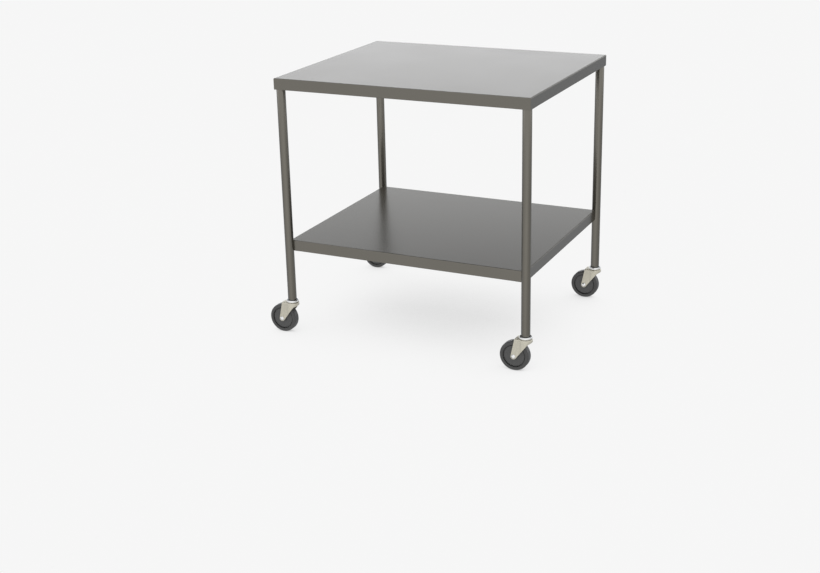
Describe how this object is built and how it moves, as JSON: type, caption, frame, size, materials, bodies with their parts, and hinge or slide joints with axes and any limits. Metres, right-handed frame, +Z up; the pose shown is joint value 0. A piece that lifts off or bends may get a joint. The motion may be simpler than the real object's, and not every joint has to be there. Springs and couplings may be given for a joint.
{
  "type": "instrument cart",
  "caption": "Stainless steel instrument cart: a flat top and a lower shelf with turned-down edges on round tube legs with swivelling, rolling castors.",
  "frame": {"origin": "centre of the footprint at floor level: the middle of the bounding box's bottom face, with all castors trailing towards -X", "axes": "+Z up, normal to the worktop; +X along the cart's long side; +Y from front to back, across the cart"},
  "size_m": [0.8254, 0.6504, 0.764],
  "materials": {
    "sheet_steel": "satin stainless sheet",
    "tube_steel": "satin stainless tube",
    "zinc_plate": "zinc plated pressing, low sheen",
    "bright_plate": "bright nickel plate",
    "hard_rubber": "hard rubber, smooth",
    "wheel_plastic": "moulded, smooth",
    "nylon": "moulded, dull"
  },
  "bodies": {
    "frame": {"top_panel": "sheet_steel", "top_stiffener": "tube_steel", "shelf_panel": "sheet_steel", "shelf_stiffener": "tube_steel", "leg_front_left": "tube_steel", "leg_front_right": "tube_steel", "leg_back_left": "tube_steel", "leg_back_right": "tube_steel", "gusset_front_left": "tube_steel", "gusset_front_right": "tube_steel", "gusset_back_left": "tube_steel", "gusset_back_right": "tube_steel", "socket_front_left": "nylon", "socket_front_right": "nylon", "socket_back_left": "nylon", "socket_back_right": "nylon", "stem_front_left": "zinc_plate", "stem_front_right": "zinc_plate", "stem_back_left": "zinc_plate", "stem_back_right": "zinc_plate", "grip_ring_front_left": "bright_plate", "grip_ring_front_right": "bright_plate", "grip_ring_back_left": "bright_plate", "grip_ring_back_right": "bright_plate", "raceway_cap_front_left": "bright_plate", "raceway_cap_front_right": "bright_plate", "raceway_cap_back_left": "bright_plate", "raceway_cap_back_right": "bright_plate", "swivel_balls_front_left": "bright_plate", "swivel_balls_front_right": "bright_plate", "swivel_balls_back_left": "bright_plate", "swivel_balls_back_right": "bright_plate"},
    "fork_front_left": {"fork_front_left": "zinc_plate", "axle_bolt_front_left": "bright_plate", "axle_nut_front_left": "zinc_plate", "axle_sleeve_front_left": "bright_plate"},
    "wheel_front_left": {"wheel_core_front_left": "wheel_plastic", "tyre_front_left": "hard_rubber"},
    "fork_front_right": {"fork_front_right": "zinc_plate", "axle_bolt_front_right": "bright_plate", "axle_nut_front_right": "zinc_plate", "axle_sleeve_front_right": "bright_plate"},
    "wheel_front_right": {"wheel_core_front_right": "wheel_plastic", "tyre_front_right": "hard_rubber"},
    "fork_back_left": {"fork_back_left": "zinc_plate", "axle_bolt_back_left": "bright_plate", "axle_nut_back_left": "zinc_plate", "axle_sleeve_back_left": "bright_plate"},
    "wheel_back_left": {"wheel_core_back_left": "wheel_plastic", "tyre_back_left": "hard_rubber"},
    "fork_back_right": {"fork_back_right": "zinc_plate", "axle_bolt_back_right": "bright_plate", "axle_nut_back_right": "zinc_plate", "axle_sleeve_back_right": "bright_plate"},
    "wheel_back_right": {"wheel_core_back_right": "wheel_plastic", "tyre_back_right": "hard_rubber"}
  },
  "joints": [
    {"name": "swivel_front_left", "type": "hinge", "parent": "frame", "child": "fork_front_left", "pos_m": [-0.3402, -0.3032, 0.0952], "axis": [0, 0, 1], "continuous": true},
    {"name": "spin_front_left", "type": "hinge", "parent": "fork_front_left", "child": "wheel_front_left", "pos_m": [-0.3702, -0.3032, 0.0425], "axis": [0, 1, 0], "continuous": true},
    {"name": "swivel_front_right", "type": "hinge", "parent": "frame", "child": "fork_front_right", "pos_m": [0.3932, -0.3032, 0.0952], "axis": [0, 0, 1], "continuous": true},
    {"name": "spin_front_right", "type": "hinge", "parent": "fork_front_right", "child": "wheel_front_right", "pos_m": [0.3632, -0.3032, 0.0425], "axis": [0, 1, 0], "continuous": true},
    {"name": "swivel_back_left", "type": "hinge", "parent": "frame", "child": "fork_back_left", "pos_m": [-0.3402, 0.3032, 0.0952], "axis": [0, 0, 1], "continuous": true},
    {"name": "spin_back_left", "type": "hinge", "parent": "fork_back_left", "child": "wheel_back_left", "pos_m": [-0.3702, 0.3032, 0.0425], "axis": [0, 1, 0], "continuous": true},
    {"name": "swivel_back_right", "type": "hinge", "parent": "frame", "child": "fork_back_right", "pos_m": [0.3932, 0.3032, 0.0952], "axis": [0, 0, 1], "continuous": true},
    {"name": "spin_back_right", "type": "hinge", "parent": "fork_back_right", "child": "wheel_back_right", "pos_m": [0.3632, 0.3032, 0.0425], "axis": [0, 1, 0], "continuous": true}
  ]
}
